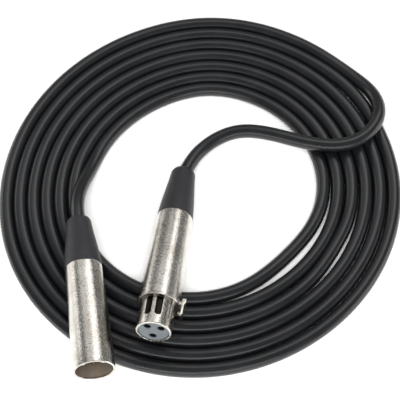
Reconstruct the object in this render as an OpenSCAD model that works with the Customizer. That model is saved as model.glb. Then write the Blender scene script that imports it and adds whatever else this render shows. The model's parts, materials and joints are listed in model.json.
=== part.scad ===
// Coiled microphone cable with a three-pole socket connector and a three-pole plug connector.
// The cable lies on a floor at z = 0. +X is right, +Y is away from the user and +Z is up.
// The origin is under the middle of the whole coil. All sizes are in millimetres.
// Each connector is drawn in its own frame: z = 0 at the rear edge of its metal barrel,
// +z towards its mating face and +y upwards. The boot and the cable are on the -z side.

/* [Cable] */
// Outside diameter of the cable
cable_d = 6.4; // [6.0:0.1:6.5]
// Mean radius of the outermost turn, were it not wandering
coil_r = 96.7; // [94:0.1:99]
// Sideways drift of the coil from a true circle
coil_drift = 3.0; // [0:0.1:4]
// Out-of-roundness of the coil
coil_oval = 1.9; // [0:0.1:2.5]
// Mean distance between neighbouring turns
turn_pitch = 6.7; // [6.7:0.05:6.9]

/* [Socket connector] */
// Length of the barrel, from its rear edge to the front of the collar
socket_barrel_l = 49.4; // [49:0.1:52]
// Length of the nose that enters a plug
socket_nose_l = 14.1; // [13.5:0.1:15]
// Diameter of the nose
socket_nose_d = 16.2; // [15.9:0.05:16.3]
// Diameter of the barrel at its rear edge
socket_rear_d = 16.8; // [16.6:0.1:17.2]
// Diameter of the barrel behind the collar
socket_front_d = 18.9; // [18.7:0.1:19.2]
// Diameter of the collar lip
socket_lip_d = 19.6; // [19.4:0.1:20]

/* [Plug connector] */
// Length of the barrel
plug_barrel_l = 51.5; // [50:0.1:53]
// Diameter of the barrel at its rear edge
plug_rear_d = 17.0; // [16.8:0.1:17.4]
// Diameter of the barrel at its mouth
plug_front_d = 18.6; // [18.4:0.1:19]
// Inside diameter of the mouth
plug_mouth_d = 16.6; // [16.5:0.05:16.8]
// Depth of the mouth, from the rim to the insert
plug_mouth_l = 15.5; // [15:0.1:16]

/* [Contacts] */
// Diameter of a plug pin
pin_d = 2.38; // [2.3:0.01:2.4]
// Inside diameter of a socket contact
contact_bore_d = 2.44; // [2.42:0.01:2.5]
// Outside diameter of a socket contact
contact_d = 3.5; // [3.4:0.05:3.5]
// Diameter of the circle that the contacts stand on
contact_circle_d = 8.0; // [7.8:0.1:8]
// Half of the angle between the two upper contacts
contact_spread = 50; // [48:1:52]

/* [Boots] */
// Length of the socket's rubber boot behind the metal
socket_boot_l = 28.6; // [27:0.1:30]
// Length of the plug's rubber boot behind the metal
plug_boot_l = 25.8; // [25:0.1:28]
// Diameter of a boot at its cable end
boot_rear_d = 11.6; // [11:0.1:12]

/* [Hidden] */

// Where the middle of the coil stands, so that the whole object is centred on the origin
coil_centre = [-0.67, 1.92, 0];

// Where each connector lies: barrel rear edge from the coil's middle, heading and nose-up pitch
socket_at = [-11.3, -22.0, 10.2];
socket_heading = -8;
socket_pitch = 8.5;
socket_roll = -5;
plug_at = [-52.3, -50.2, 15.1];
plug_heading = 7.6;
plug_pitch = 2;
plug_roll = 0;

// Fits
running_gap = 0.05;
slip_gap = 0.1;

// Insides shared by both connectors
cavity_d = 15.2;
spigot_d = 15.0;
spigot_l = 8;
clamp_d = 14.6;
clamp_from = 9.5;
clamp_l = 8;
clamp_split = 0.4;
clamp_screw_x = 5.3;
clamp_screw_d = 1.6;
clamp_head_d = 2.8;
jacket_end = 18.5;
core_d = 1.3;
core_circle_d = 2.8;
core_gap = 0.03;
insert_screw_d = 2.5;
cup_l = 3.5;
cup_d = 2.3;

// Socket connector
socket_l = socket_barrel_l + socket_nose_l;
socket_insert_d = 13.8;
socket_insert_from = 44.5;
socket_insert_to = socket_l - 0.5;
socket_cavity_to = socket_insert_from;
contact_from = 41;
contact_to = socket_l - 2.5;
contact_bore_l = 13;
entry_hole_d = 2.9;
keyway_w = 3.0;
keyway_l = 9.6;
keyway_depth = 0.75;
keyway_undercut = 0.6;
keyway_angles = [-26, 8, 42];
lip_l = 1.2;
socket_screw_z = 47;

// Latch: a rocking lever on the right side of the collar. Pressing its rear end lifts its hook.
latch_pivot = [8.1, 47];
latch_pin_d = 1.2;
latch_pin_l = 6.8;
latch_hub_d = 2.0;
latch_w = 2.4;
latch_slot_w = 3.0;
latch_slot_l = 3.2;
thumb_w = 4.4;
thumb_in = 10.1;
thumb_out = 12.2;
thumb_from = 45;
thumb_to = 54;
thumb_pocket_x = 9.15;
hook_tip = 9.0;
hook_from = 52.2;
spring_wire_d = 0.3;
spring_coil_r = 0.85;
spring_turns = 3;

// Plug connector
plug_insert_from = 26;
plug_insert_to = plug_barrel_l - plug_mouth_l;
plug_insert_d = 15.8;
plug_pin_from = 22;
plug_pin_to = plug_barrel_l - 4.9;
pin_shank_d = 3.1;
key_rib_w = 1.6;
key_rib_h = 0.75;
key_rib_angles = [-32, 32];
plug_screw_z = 31;

// Coil: turns run counter-clockwise from the outside in, and the angle is counted from +X
coil_start = 27;
lead_in_angle = 48;
lead_out_angle = 160;
inner_turns = 6;
coil_step = 5;
arc_steps = 6;
// Ring sides and smoothing of the free stretches of cable
tube_sides = 10;

// The free stretch from the socket connector over the coil to the outermost turn
socket_route = [
    [-5.6, 8.7, 5.4], [-2.4, 14.5, 5.3], [0.8, 18.5, 5.4], [6.6, 23.3, 6.2], [14.6, 26.9, 7.5],
    [22.5, 27.7, 8.5], [30.5, 26.3, 9.3], [38.0, 24.1, 9.8], [45.0, 21.8, 9.9], [52.0, 19.9, 9.9],
    [60.1, 18.5, 9.9], [67.8, 18.6, 9.9], [74.7, 20.6, 10.0], [80.4, 24.5, 10.0], [84.7, 30.0, 10.0],
    [87.3, 37.2, 9.3], [87.2, 45.7, 7.2], [84.0, 53.9, 5.0], [78.2, 61.0, 3.7], [71.1, 67.7, 3.2]
];
// The free stretch from the innermost turn, up over the next turn, to the plug connector
plug_route = [
    [-50.9, 10.8, 4.6], [-52.8, 4.6, 6.4], [-54.8, -1.9, 8.9], [-56.3, -8.9, 11.3],
    [-56.7, -15.2, 13.1], [-56.4, -20.5, 14.0]
];

// --- Coil of cable -------------------------------------------------------------------------

// How far an angle is from a centre, folded into -180 to 180
function angle_from(a, centre) = (a - centre + 540) % 360 - 180;

// Radius that the outermost turn would have if the coil did not spiral
function turn_base(a) =
    coil_r + coil_drift * cos(a + 53) + coil_oval * cos(2 * (a - 60))
    + 1.2 * exp(-pow(angle_from(a, 85) / 22, 2)) + 1.3 * exp(-pow(angle_from(a, -8) / 40, 2));

// Distance between neighbouring turns at an angle
function turn_gap(a) = turn_pitch + 0.22 * cos(a + 50) + 0.18 * cos(2 * (a + 82));

// Radius of the cable's centreline: turn k, counted from the outside, at angle a
function turn_r(a, k) = turn_base(a) - turn_gap(a) * (k + (a - coil_start) / 360);

function on_coil(a, k) = [turn_r(a, k) * cos(a), turn_r(a, k) * sin(a), cable_d / 2];

function innermost(a) = a < lead_out_angle ? inner_turns : inner_turns - 1;

// Outline of the coil's section at angle a: two half rounds joined by flats
function coil_section(a) = [
    for (i = [0 : arc_steps])
        let (t = -90 + 180 * i / arc_steps)
        section_point(a, turn_r(a, 0) + cable_d / 2 * cos(t), sin(t)),
    for (i = [0 : arc_steps])
        let (t = 90 - 180 * i / arc_steps)
        section_point(a, turn_r(a, innermost(a)) - cable_d / 2 * cos(t), sin(t))
];
function section_point(a, r, rise) = [r * cos(a), r * sin(a), cable_d / 2 * (1 + rise)];

// Angles of the sections, with a close pair at each end of the cable's free stretches
coil_angles = [
    for (a = [lead_in_angle : coil_step : lead_out_angle - 1]) a,
    lead_out_angle - 0.5,
    for (a = [lead_out_angle : coil_step : lead_in_angle + 359]) a,
    lead_in_angle + 359.5
];

module cable_coil() {
    sections = len(coil_angles);
    sides = 2 * (arc_steps + 1);
    color("#1c1d20")
        translate(coil_centre)
            polyhedron(
                points = [for (a = coil_angles) each coil_section(a)],
                faces = [
                    for (i = [0 : sections - 1], j = [0 : sides - 1])
                        let (i2 = (i + 1) % sections, j2 = (j + 1) % sides)
                        each [
                            [i * sides + j, i2 * sides + j, i2 * sides + j2],
                            [i * sides + j, i2 * sides + j2, i * sides + j2]
                        ]
                ]
            );
}

// --- Free stretches of cable ---------------------------------------------------------------

function unit(v) = v / norm(v);

// One point between p1 and p2 on a smooth curve through four points
function between(p0, p1, p2, p3, t) =
    0.5 * (2 * p1 + (p2 - p0) * t + (2 * p0 - 5 * p1 + 4 * p2 - p3) * t * t
    + (3 * p1 - p0 - 3 * p2 + p3) * t * t * t);

// The route with one more point between each two of its points
function smooth(route) = [
    for (i = [0 : len(route) - 2])
        let (
            p0 = route[max(i - 1, 0)],
            p3 = route[min(i + 2, len(route) - 1)]
        )
        each [route[i], between(p0, route[i], route[i + 1], p3, 0.5)],
    route[len(route) - 1]
];

// The rings of a round tube of diameter d along a route
function tube_ring(route, i, d) =
    let (
        ahead = route[min(i + 1, len(route) - 1)],
        behind = route[max(i - 1, 0)],
        along = unit(ahead - behind),
        side = unit(cross(along, [0, 0, 1])),
        up = cross(side, along)
    )
    [
        for (j = [0 : tube_sides - 1])
            let (t = 360 * (j + 0.5) / tube_sides)
            route[i] + d / 2 * (side * cos(t) + up * sin(t))
    ];

module tube(route, d) {
    rings = len(route);
    polyhedron(
        points = [for (i = [0 : rings - 1]) each tube_ring(route, i, d)],
        faces = [
            [for (j = [0 : tube_sides - 1]) j],
            [for (j = [0 : tube_sides - 1]) rings * tube_sides - 1 - j],
            for (i = [0 : rings - 2], j = [0 : tube_sides - 1])
                let (j2 = (j + 1) % tube_sides, row = i * tube_sides, next = row + tube_sides)
                each [[row + j, next + j, next + j2], [row + j, next + j2, row + j2]]
        ]
    );
}

// A point on a connector's axis, z along from the rear edge of its barrel
function axis_point(at, heading, pitch, z) =
    at + z * [sin(heading) * cos(pitch), -cos(heading) * cos(pitch), sin(pitch)];
function socket_axis(z) = axis_point(socket_at, socket_heading, socket_pitch, z);
function plug_axis(z) = axis_point(plug_at, plug_heading, plug_pitch, z);

module socket_lead() {
    color("#1c1d20")
        translate(coil_centre)
            tube(
                smooth(concat(
                    [socket_axis(jacket_end), socket_axis(0), socket_axis(-20), socket_axis(-26)],
                    socket_route,
                    [on_coil(lead_in_angle - 0.5, 0)]
                )),
                cable_d
            );
}

module plug_lead() {
    color("#1c1d20")
        translate(coil_centre)
            tube(
                smooth(concat(
                    [on_coil(lead_out_angle, inner_turns)],
                    plug_route,
                    [plug_axis(-plug_boot_l), plug_axis(-12), plug_axis(0), plug_axis(jacket_end)]
                )),
                cable_d
            );
}

// --- Placing the connectors ----------------------------------------------------------------

module place(at, heading, pitch, roll) {
    translate(coil_centre + at)
        rotate([0, 0, heading])
            rotate([90 - pitch, 0, 0])
                rotate([0, 0, roll])
                    children();
}
module at_socket(roll = 0) {
    place(socket_at, socket_heading, socket_pitch, roll)
        children();
}
module at_plug(roll = 0) {
    place(plug_at, plug_heading, plug_pitch, roll)
        children();
}

// --- Shapes that both connectors share -----------------------------------------------------

// Where contact n stands in a connector's frame
function contact_angle(n) = [90 + contact_spread, 90 - contact_spread, 270][n - 1];
function contact_xy(n) = contact_circle_d / 2 * [cos(contact_angle(n)), sin(contact_angle(n))];

module bore(d, from, to) {
    translate([0, 0, from])
        cylinder(d = d, h = to - from, $fn = 64);
}

module contact_bores(d, from, to) {
    for (n = [1 : 3])
        translate(contact_xy(n))
            bore(d, from, to);
}

// A round rod between two points
module rod(p, q, d) {
    v = q - p;
    translate(p)
        rotate([0, acos(v.z / norm(v)), atan2(v.y, v.x)])
            cylinder(d = d, h = norm(v), $fn = 32);
}

// A rubber boot: a tapered sleeve with a spigot that fills the rear of the barrel
module boot(length, front_d) {
    front_r = front_d / 2 - 0.05;
    rear_r = boot_rear_d / 2;
    difference() {
        rotate_extrude($fn = 72)
            polygon([
                [0, -length], [rear_r - 1.9, -length], [rear_r - 0.9, -length + 0.4],
                [rear_r - 0.2, -length + 1.3], [rear_r + 0.1, -length + 2.8],
                [rear_r + 0.5, -length + 6.0], [front_r - 0.5, -7.0], [front_r - 0.1, -2.5],
                [front_r, 0], [spigot_d / 2, 0], [spigot_d / 2, spigot_l], [0, spigot_l]
            ]);
        bore(cable_d, -length - 1, spigot_l + 1);
    }
}

// One half of the cable clamp; side is 1 for the upper half and -1 for the lower half
module clamp_half(side) {
    difference() {
        bore(clamp_d, clamp_from, clamp_from + clamp_l);
        bore(cable_d, clamp_from - 1, clamp_from + clamp_l + 1);
        translate([-clamp_d, side > 0 ? -2 * clamp_d + clamp_split / 2 : -clamp_split / 2,
                   clamp_from - 1])
            cube([2 * clamp_d, 2 * clamp_d, clamp_l + 2]);
        for (x = [-clamp_screw_x, clamp_screw_x])
            translate([x, 0, clamp_from + clamp_l / 2])
                rotate([-90, 0, 0]) {
                    translate([0, 0, -clamp_d])
                        cylinder(d = clamp_screw_d + slip_gap, h = 2 * clamp_d, $fn = 32);
                    translate([0, 0, 1.8])
                        cylinder(d = clamp_head_d + 2 * slip_gap, h = clamp_d, $fn = 32);
                }
    }
}

// The two small screws that pull the clamp halves together
module clamp_screws() {
    for (x = [-clamp_screw_x, clamp_screw_x])
        translate([x, 0, clamp_from + clamp_l / 2])
            rotate([-90, 0, 0])
                difference() {
                    union() {
                        translate([0, 0, -4])
                            cylinder(d = clamp_screw_d, h = 6, $fn = 32);
                        translate([0, 0, 1.9])
                            cylinder(d = clamp_head_d, h = 1.1, $fn = 32);
                    }
                    translate([-clamp_head_d, -0.2, 2.5])
                        cube([2 * clamp_head_d, 0.4, 1]);
                }
}

// A short slotted screw, flush in the underside of a barrel, that holds the insert
module insert_screw(z, outer_r) {
    translate([0, -outer_r, z])
        rotate([-90, 0, 0])
            difference() {
                cylinder(d = insert_screw_d - slip_gap, h = outer_r - 6.2, $fn = 32);
                translate([-insert_screw_d, -0.25, -0.1])
                    cube([2 * insert_screw_d, 0.5, 0.7]);
            }
}
module insert_screw_hole(z, outer_r) {
    translate([0, -outer_r - 1, z])
        rotate([-90, 0, 0])
            cylinder(d = insert_screw_d, h = outer_r + 1 - 6.1, $fn = 32);
}

// A cut that opens one side of a solder cup, away from the axis
module cup_opening(n, from) {
    rotate([0, 0, contact_angle(n)])
        translate([contact_circle_d / 2 + 0.3, -3, from - 0.1])
            cube([4, 6, cup_l - 0.8]);
}

// An insulated core from a solder cup to the end of the jacket, which it clears at its lean
module core(n, cup_z) {
    inner = core_circle_d / 2 * [cos(contact_angle(n)), sin(contact_angle(n))];
    lean = atan2((contact_circle_d - core_circle_d) / 2, cup_z - jacket_end);
    rod(
        [inner.x, inner.y, jacket_end + core_gap + core_d / 2 * sin(lean)],
        [contact_xy(n).x, contact_xy(n).y, cup_z],
        core_d
    );
}

// --- Socket connector ----------------------------------------------------------------------

module socket_shell() {
    nose_r = socket_nose_d / 2;
    color("#c9c6bf")
        at_socket()
            difference() {
                rotate_extrude($fn = 96)
                    polygon([
                        [0, 0], [socket_rear_d / 2 - 0.3, 0], [socket_rear_d / 2, 0.3],
                        [socket_front_d / 2, socket_barrel_l - lip_l - 4],
                        [socket_front_d / 2, socket_barrel_l - lip_l],
                        [socket_lip_d / 2, socket_barrel_l - lip_l + 0.3],
                        [socket_lip_d / 2, socket_barrel_l - 0.3],
                        [socket_lip_d / 2 - 0.3, socket_barrel_l],
                        [nose_r, socket_barrel_l], [nose_r, socket_l - 0.4],
                        [nose_r - 0.4, socket_l], [0, socket_l]
                    ]);
                bore(cavity_d, -1, socket_cavity_to);
                bore(socket_insert_d + slip_gap, socket_cavity_to - 1, socket_l + 1);
                socket_keyways();
                latch_slot();
                rotate([0, 0, socket_roll])
                    insert_screw_hole(socket_screw_z, socket_front_d / 2);
            }
}

// Blind grooves along the top of the nose, from under the collar to round front ends
module socket_keyways() {
    straight = keyway_l - keyway_w / 2;
    for (angle = keyway_angles)
        rotate([0, 0, -angle])
            translate([0, socket_nose_d / 2 - keyway_depth, socket_barrel_l + straight])
                rotate([-90, 0, 0]) {
                    translate([-keyway_w / 2, 0, 0])
                        cube([keyway_w, straight + keyway_undercut, keyway_depth + 0.15]);
                    cylinder(d = keyway_w, h = keyway_depth + 0.15, $fn = 32);
                }
}

// Room for the latch in the right side of the shell: a slot for the hub and its spring, a
// pocket under the thumb bar, and the hole for the pin, drilled from below
module latch_slot() {
    translate([socket_insert_d / 2 - 0.4, -latch_slot_w / 2, latch_pivot.y - latch_slot_l / 2])
        cube([6, latch_slot_w + 0.9, latch_slot_l]);
    translate([thumb_pocket_x, -thumb_w / 2 - 0.4, thumb_from - 0.6])
        cube([3, thumb_w + 0.8, socket_barrel_l + 0.1 - thumb_from + 0.6]);
    translate([latch_pivot.x, -socket_front_d / 2, latch_pivot.y])
        rotate([-90, 0, 0])
            cylinder(d = latch_pin_d, h = socket_front_d / 2 + latch_pin_l / 2, $fn = 32);
}

module socket_insert() {
    color("#a9b4bf")
        at_socket(socket_roll)
            difference() {
                bore(socket_insert_d, socket_insert_from, socket_insert_to);
                contact_bores(contact_d + slip_gap, socket_insert_from - 1, contact_to + 0.05);
                contact_bores(entry_hole_d, contact_to - 1, socket_insert_to + 1);
                insert_screw_hole(socket_screw_z, socket_front_d / 2);
            }
}

// A turned contact: a bore at the front for the pin, a solder cup at the rear
module socket_contact(n) {
    color("#d7c89a")
        at_socket(socket_roll)
            difference() {
                translate(contact_xy(n))
                    difference() {
                        bore(contact_d, contact_from, contact_to);
                        bore(contact_bore_d, contact_to - contact_bore_l, contact_to + 1);
                        bore(cup_d, contact_from - 1, contact_from + cup_l);
                    }
                cup_opening(n, contact_from);
            }
}
module socket_contact_1() {
    socket_contact(1);
}
module socket_contact_2() {
    socket_contact(2);
}
module socket_contact_3() {
    socket_contact(3);
}

// The latch: a hub on the pin, a neck, a bar with a thumb rest at its rear and a hook in front
module latch_lever() {
    color("#d9d7d2")
        at_socket()
            difference() {
                union() {
                    translate([latch_pivot.x, 0, latch_pivot.y])
                        rotate([90, 0, 0])
                            cylinder(d = latch_hub_d, h = latch_w, center = true, $fn = 32);
                    rotate([90, 0, 0])
                        linear_extrude(height = latch_w, center = true)
                            polygon([
                                [latch_pivot.x, latch_pivot.y - 0.9],
                                [thumb_in + 0.4, latch_pivot.y - 0.9],
                                [thumb_in + 0.4, latch_pivot.y + 0.9],
                                [latch_pivot.x, latch_pivot.y + 0.9]
                            ]);
                    rotate([90, 0, 0])
                        linear_extrude(height = thumb_w, center = true)
                            polygon([
                                [thumb_in, thumb_from + 0.2], [thumb_in + 0.2, thumb_from],
                                [thumb_out - 0.3, thumb_from], [thumb_out, thumb_from + 0.3],
                                [thumb_out, thumb_from + 2.0], [thumb_out - 0.6, thumb_from + 3.2],
                                [thumb_out - 0.6, thumb_to - 0.9], [thumb_out - 1.2, thumb_to],
                                [thumb_in, thumb_to]
                            ]);
                    rotate([90, 0, 0])
                        linear_extrude(height = latch_w, center = true)
                            polygon([
                                [thumb_in + 0.4, hook_from], [thumb_in + 0.4, thumb_to],
                                [thumb_in - 0.3, thumb_to], [hook_tip, hook_from + 0.8],
                                [hook_tip, hook_from]
                            ]);
                }
                translate([latch_pivot.x, 0, latch_pivot.y])
                    rotate([90, 0, 0])
                        cylinder(d = latch_pin_d + 2 * running_gap, h = 2 * latch_w,
                                 center = true, $fn = 32);
            }
}

module latch_pin() {
    color("#b8b9bb")
        at_socket()
            translate([latch_pivot.x, 0, latch_pivot.y])
                rotate([90, 0, 0])
                    cylinder(d = latch_pin_d, h = latch_pin_l, center = true, $fn = 32);
}

// A torsion spring beside the hub: three closed turns, with the grooves between them, and a leg
module latch_spring() {
    outer_r = spring_coil_r + spring_wire_d / 2;
    inner_r = spring_coil_r - spring_wire_d / 2;
    groove = 0.06;
    color("#9a9ea3")
        at_socket() {
            translate([latch_pivot.x, latch_w / 2 + 0.2, latch_pivot.y])
                rotate([-90, 0, 0])
                    rotate_extrude($fn = 32)
                        polygon([
                            [inner_r, 0], [outer_r - groove, 0],
                            for (i = [0 : spring_turns - 1]) each [
                                [outer_r, spring_wire_d * (i + 0.5)],
                                [outer_r - groove, spring_wire_d * (i + 1)]
                            ],
                            [inner_r, spring_wire_d * spring_turns]
                        ]);
            translate([latch_pivot.x - spring_coil_r - 0.1, latch_w / 2 + 0.25, latch_pivot.y + 0.2])
                cube([0.2, 0.25, 1.2]);
        }
}

module socket_insert_screw() {
    color("#8f9296")
        at_socket(socket_roll)
            insert_screw(socket_screw_z, socket_front_d / 2);
}
module socket_clamp_upper() {
    color("#2b2c2f")
        at_socket()
            clamp_half(1);
}
module socket_clamp_lower() {
    color("#2b2c2f")
        at_socket()
            clamp_half(-1);
}
module socket_clamp_screws() {
    color("#8f9296")
        at_socket()
            clamp_screws();
}
module socket_boot() {
    color("#303134")
        at_socket()
            boot(socket_boot_l, socket_rear_d);
}
module socket_wire(n, colour) {
    color(colour)
        at_socket(socket_roll)
            core(n, contact_from + 1.5);
}
module socket_wire_1() {
    socket_wire(1, "#b87333");
}
module socket_wire_2() {
    socket_wire(2, "#b02a2a");
}
module socket_wire_3() {
    socket_wire(3, "#e4e2dc");
}

// --- Plug connector ------------------------------------------------------------------------

module plug_shell() {
    mouth_from = plug_insert_to;
    color("#c9c6bf")
        at_plug()
            union() {
                difference() {
                    rotate_extrude($fn = 96)
                        polygon([
                            [0, 0], [plug_rear_d / 2 - 0.3, 0], [plug_rear_d / 2, 0.3],
                            [plug_front_d / 2, plug_barrel_l - 6],
                            [plug_front_d / 2, plug_barrel_l - 0.3],
                            [plug_front_d / 2 - 0.3, plug_barrel_l], [0, plug_barrel_l]
                        ]);
                    bore(cavity_d, -1, plug_insert_from);
                    bore(plug_insert_d + slip_gap, plug_insert_from - 1, mouth_from);
                    bore(plug_mouth_d, mouth_from - 0.1, plug_barrel_l + 1);
                    rotate([0, 0, plug_roll])
                        insert_screw_hole(plug_screw_z, plug_front_d / 2);
                }
                plug_key_ribs(mouth_from);
            }
}

// Two small ribs inside the top of the mouth that find a socket's grooves
module plug_key_ribs(from) {
    for (angle = key_rib_angles)
        rotate([0, 0, -angle])
            translate([-key_rib_w / 2, plug_mouth_d / 2 - key_rib_h, from + 4])
                cube([key_rib_w, key_rib_h + 0.5, plug_barrel_l - from - 4.8]);
}

module plug_insert() {
    color("#8d8378")
        at_plug(plug_roll)
            difference() {
                bore(plug_insert_d, plug_insert_from, plug_insert_to);
                contact_bores(pin_shank_d, plug_insert_from - 1, plug_insert_to + 1);
                insert_screw_hole(plug_screw_z, plug_front_d / 2);
            }
}

// A solid pin with a rounded tip and a solder cup
module plug_pin(n) {
    tip = 0.7;
    color("#d7c89a")
        at_plug(plug_roll)
            difference() {
                translate(contact_xy(n))
                    difference() {
                        union() {
                            bore(pin_d, plug_pin_from, plug_pin_to - tip);
                            bore(pin_shank_d, plug_pin_from, plug_insert_to);
                            bore(contact_d, plug_pin_from, plug_insert_from - 0.1);
                            translate([0, 0, plug_pin_to - tip])
                                rotate_extrude($fn = 48)
                                    polygon([
                                        [0, 0], [pin_d / 2, 0], [pin_d / 2 - 0.15, 0.35],
                                        [pin_d / 2 - 0.5, tip], [0, tip]
                                    ]);
                        }
                        bore(cup_d, plug_pin_from - 1, plug_pin_from + cup_l);
                    }
                cup_opening(n, plug_pin_from);
            }
}
module plug_pin_1() {
    plug_pin(1);
}
module plug_pin_2() {
    plug_pin(2);
}
module plug_pin_3() {
    plug_pin(3);
}

module plug_insert_screw() {
    color("#8f9296")
        at_plug(plug_roll)
            insert_screw(plug_screw_z, plug_front_d / 2 - 0.3);
}
module plug_clamp_upper() {
    color("#2b2c2f")
        at_plug()
            clamp_half(1);
}
module plug_clamp_lower() {
    color("#2b2c2f")
        at_plug()
            clamp_half(-1);
}
module plug_clamp_screws() {
    color("#8f9296")
        at_plug()
            clamp_screws();
}
module plug_boot() {
    color("#303134")
        at_plug()
            boot(plug_boot_l, plug_rear_d);
}
module plug_wire(n, colour) {
    color(colour)
        at_plug(plug_roll)
            core(n, plug_pin_from + 0.4);
}
module plug_wire_1() {
    plug_wire(1, "#b87333");
}
module plug_wire_2() {
    plug_wire(2, "#b02a2a");
}
module plug_wire_3() {
    plug_wire(3, "#e4e2dc");
}

// --- The nodes -----------------------------------------------------------------------------

socket_shell();
socket_insert();
socket_contact_1();
socket_contact_2();
socket_contact_3();
latch_lever();
latch_pin();
latch_spring();
socket_insert_screw();
socket_clamp_upper();
socket_clamp_lower();
socket_clamp_screws();
socket_boot();
socket_wire_1();
socket_wire_2();
socket_wire_3();
plug_shell();
plug_insert();
plug_pin_1();
plug_pin_2();
plug_pin_3();
plug_insert_screw();
plug_clamp_upper();
plug_clamp_lower();
plug_clamp_screws();
plug_boot();
plug_wire_1();
plug_wire_2();
plug_wire_3();
cable_coil();
socket_lead();
plug_lead();
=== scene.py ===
"""Looks of a coiled microphone cable with a latching socket connector and a plug connector.

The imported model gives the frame: where both connectors point, and what is inside them. This script
adds the cable at its real length, the plated barrels, the rubber boots, the latch and the insulators,
and gives every carried-over piece its finish. Sizes are in millimetres until a mesh is made, and
Blender's own units are metres.
"""

import json
import logging
import math
from dataclasses import dataclass
from enum import Enum

import bmesh
import bpy
import mathutils
import numpy as np
from bpy.types import Material, Node, NodeSocket, NodeTree, Object
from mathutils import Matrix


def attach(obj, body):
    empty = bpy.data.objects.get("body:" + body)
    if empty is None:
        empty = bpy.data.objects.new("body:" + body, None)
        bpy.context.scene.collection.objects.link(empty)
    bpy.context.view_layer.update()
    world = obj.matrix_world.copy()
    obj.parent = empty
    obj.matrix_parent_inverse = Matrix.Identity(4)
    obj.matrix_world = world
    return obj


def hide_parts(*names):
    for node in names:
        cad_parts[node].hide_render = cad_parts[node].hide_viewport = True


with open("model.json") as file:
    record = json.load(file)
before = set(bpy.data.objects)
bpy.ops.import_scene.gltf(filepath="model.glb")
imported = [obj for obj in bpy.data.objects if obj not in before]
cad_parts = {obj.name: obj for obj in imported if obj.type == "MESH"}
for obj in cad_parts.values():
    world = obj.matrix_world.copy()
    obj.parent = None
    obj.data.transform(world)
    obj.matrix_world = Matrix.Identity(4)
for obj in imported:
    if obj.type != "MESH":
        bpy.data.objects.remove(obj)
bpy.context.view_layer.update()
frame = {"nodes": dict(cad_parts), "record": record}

MM = 0.001
MERGE_M = 1e-7
log = logging.getLogger("cable")
logging.basicConfig(level=logging.INFO, format="%(name)s: %(message)s")


# --- Small tools ---


def linear(hex_colour: str) -> tuple[float, float, float, float]:
    """Turn an sRGB hex colour into Blender's linear RGBA.

    Args:
        hex_colour: Six hex digits after a hash sign.

    Returns:
        Red, green, blue and an alpha of 1.
    """
    srgb = np.array([int(hex_colour[i : i + 2], 16) / 255 for i in (1, 3, 5)])
    rgb = np.where(srgb <= 0.04045, srgb / 12.92, ((srgb + 0.055) / 1.055) ** 2.4)
    return (*map(float, rgb), 1.0)


def unit(v: np.ndarray) -> np.ndarray:
    """Scale vectors to length 1 along their last axis."""
    return v / np.linalg.norm(v, axis=-1, keepdims=True)


def smoothstep(x: np.ndarray, low: float, high: float) -> np.ndarray:
    """Rise smoothly from 0 at low to 1 at high: 3t^2 - 2t^3 of the clipped share t."""
    t = np.clip((x - low) / (high - low), 0, 1)
    return t * t * (3 - 2 * t)


def fill(tree: NodeTree, node: Node, inputs: dict) -> None:
    """Give a node's inputs, by name or number, the socket that feeds each or its value."""
    for key, value in inputs.items():
        if isinstance(value, NodeSocket):
            tree.links.new(value, node.inputs[key])
        else:
            node.inputs[key].default_value = value


def add_node(tree: NodeTree, kind: str, inputs: dict | None = None, **settings) -> Node:
    """Add a shader node with its settings and its inputs.

    Args:
        tree: The node tree.
        kind: The node's type name.
        inputs: Input name or number to the socket that feeds it, or to its value.
        **settings: Node attributes, or inputs where the node has no attribute of that name.

    Returns:
        The new node.
    """
    node = tree.nodes.new(kind)
    for key, value in settings.items():
        if hasattr(node, key):
            setattr(node, key, value)
        else:
            node.inputs[key.replace("_", " ")].default_value = value
    fill(tree, node, inputs or {})
    return node


# --- Surfaces ---


def fillet(corners: list[tuple[float, float, float]], closed: bool, steps: int = 5) -> np.ndarray:
    """Round the corners of an outline.

    Each corner becomes an arc that touches both of its sides, drawn as a quadratic curve from the
    point where it leaves one side to the point where it joins the next. It takes up at most 0.45 of
    the shorter side.

    Args:
        corners: (x, y, radius) of each corner in order; radius 0 stays sharp.
        closed: Whether the last corner joins the first.
        steps: Points on each arc.

    Returns:
        The outline's points, an array of shape (n, 2).
    """
    pts = np.array([c[:2] for c in corners], float)
    most = 0.45
    out = []
    for i, (x, y, radius) in enumerate(corners):
        here = np.array([x, y])
        if radius <= 0 or (not closed and i in (0, len(corners) - 1)):
            out.append(here[None])
            continue
        before = pts[i - 1] - here
        after = pts[(i + 1) % len(pts)] - here
        turn = math.acos(np.clip(unit(before) @ unit(after), -1, 1))
        shorter_side = min(np.linalg.norm(before), np.linalg.norm(after))
        reach = min(radius / math.tan(turn / 2), most * shorter_side)
        a, b = here + unit(before) * reach, here + unit(after) * reach
        t = np.linspace(0, 1, steps)[:, None]
        out.append((1 - t) ** 2 * a + 2 * t * (1 - t) * here + t**2 * b)
    return np.vstack(out)


def refine(outline: np.ndarray, spacing: np.ndarray) -> np.ndarray:
    """Put extra points on an open outline's long sides.

    Args:
        outline: Points of shape (n, 2).
        spacing: The largest distance between points on each side.

    Returns:
        The outline with its sides split evenly.
    """
    parts = []
    for a, b, gap in zip(outline[:-1], outline[1:], spacing):
        count = max(1, math.ceil(np.linalg.norm(b - a) / gap))
        t = np.arange(count)[:, None] / count
        parts.append(a + (b - a) * t)
    return np.vstack([*parts, outline[-1:]])


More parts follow.
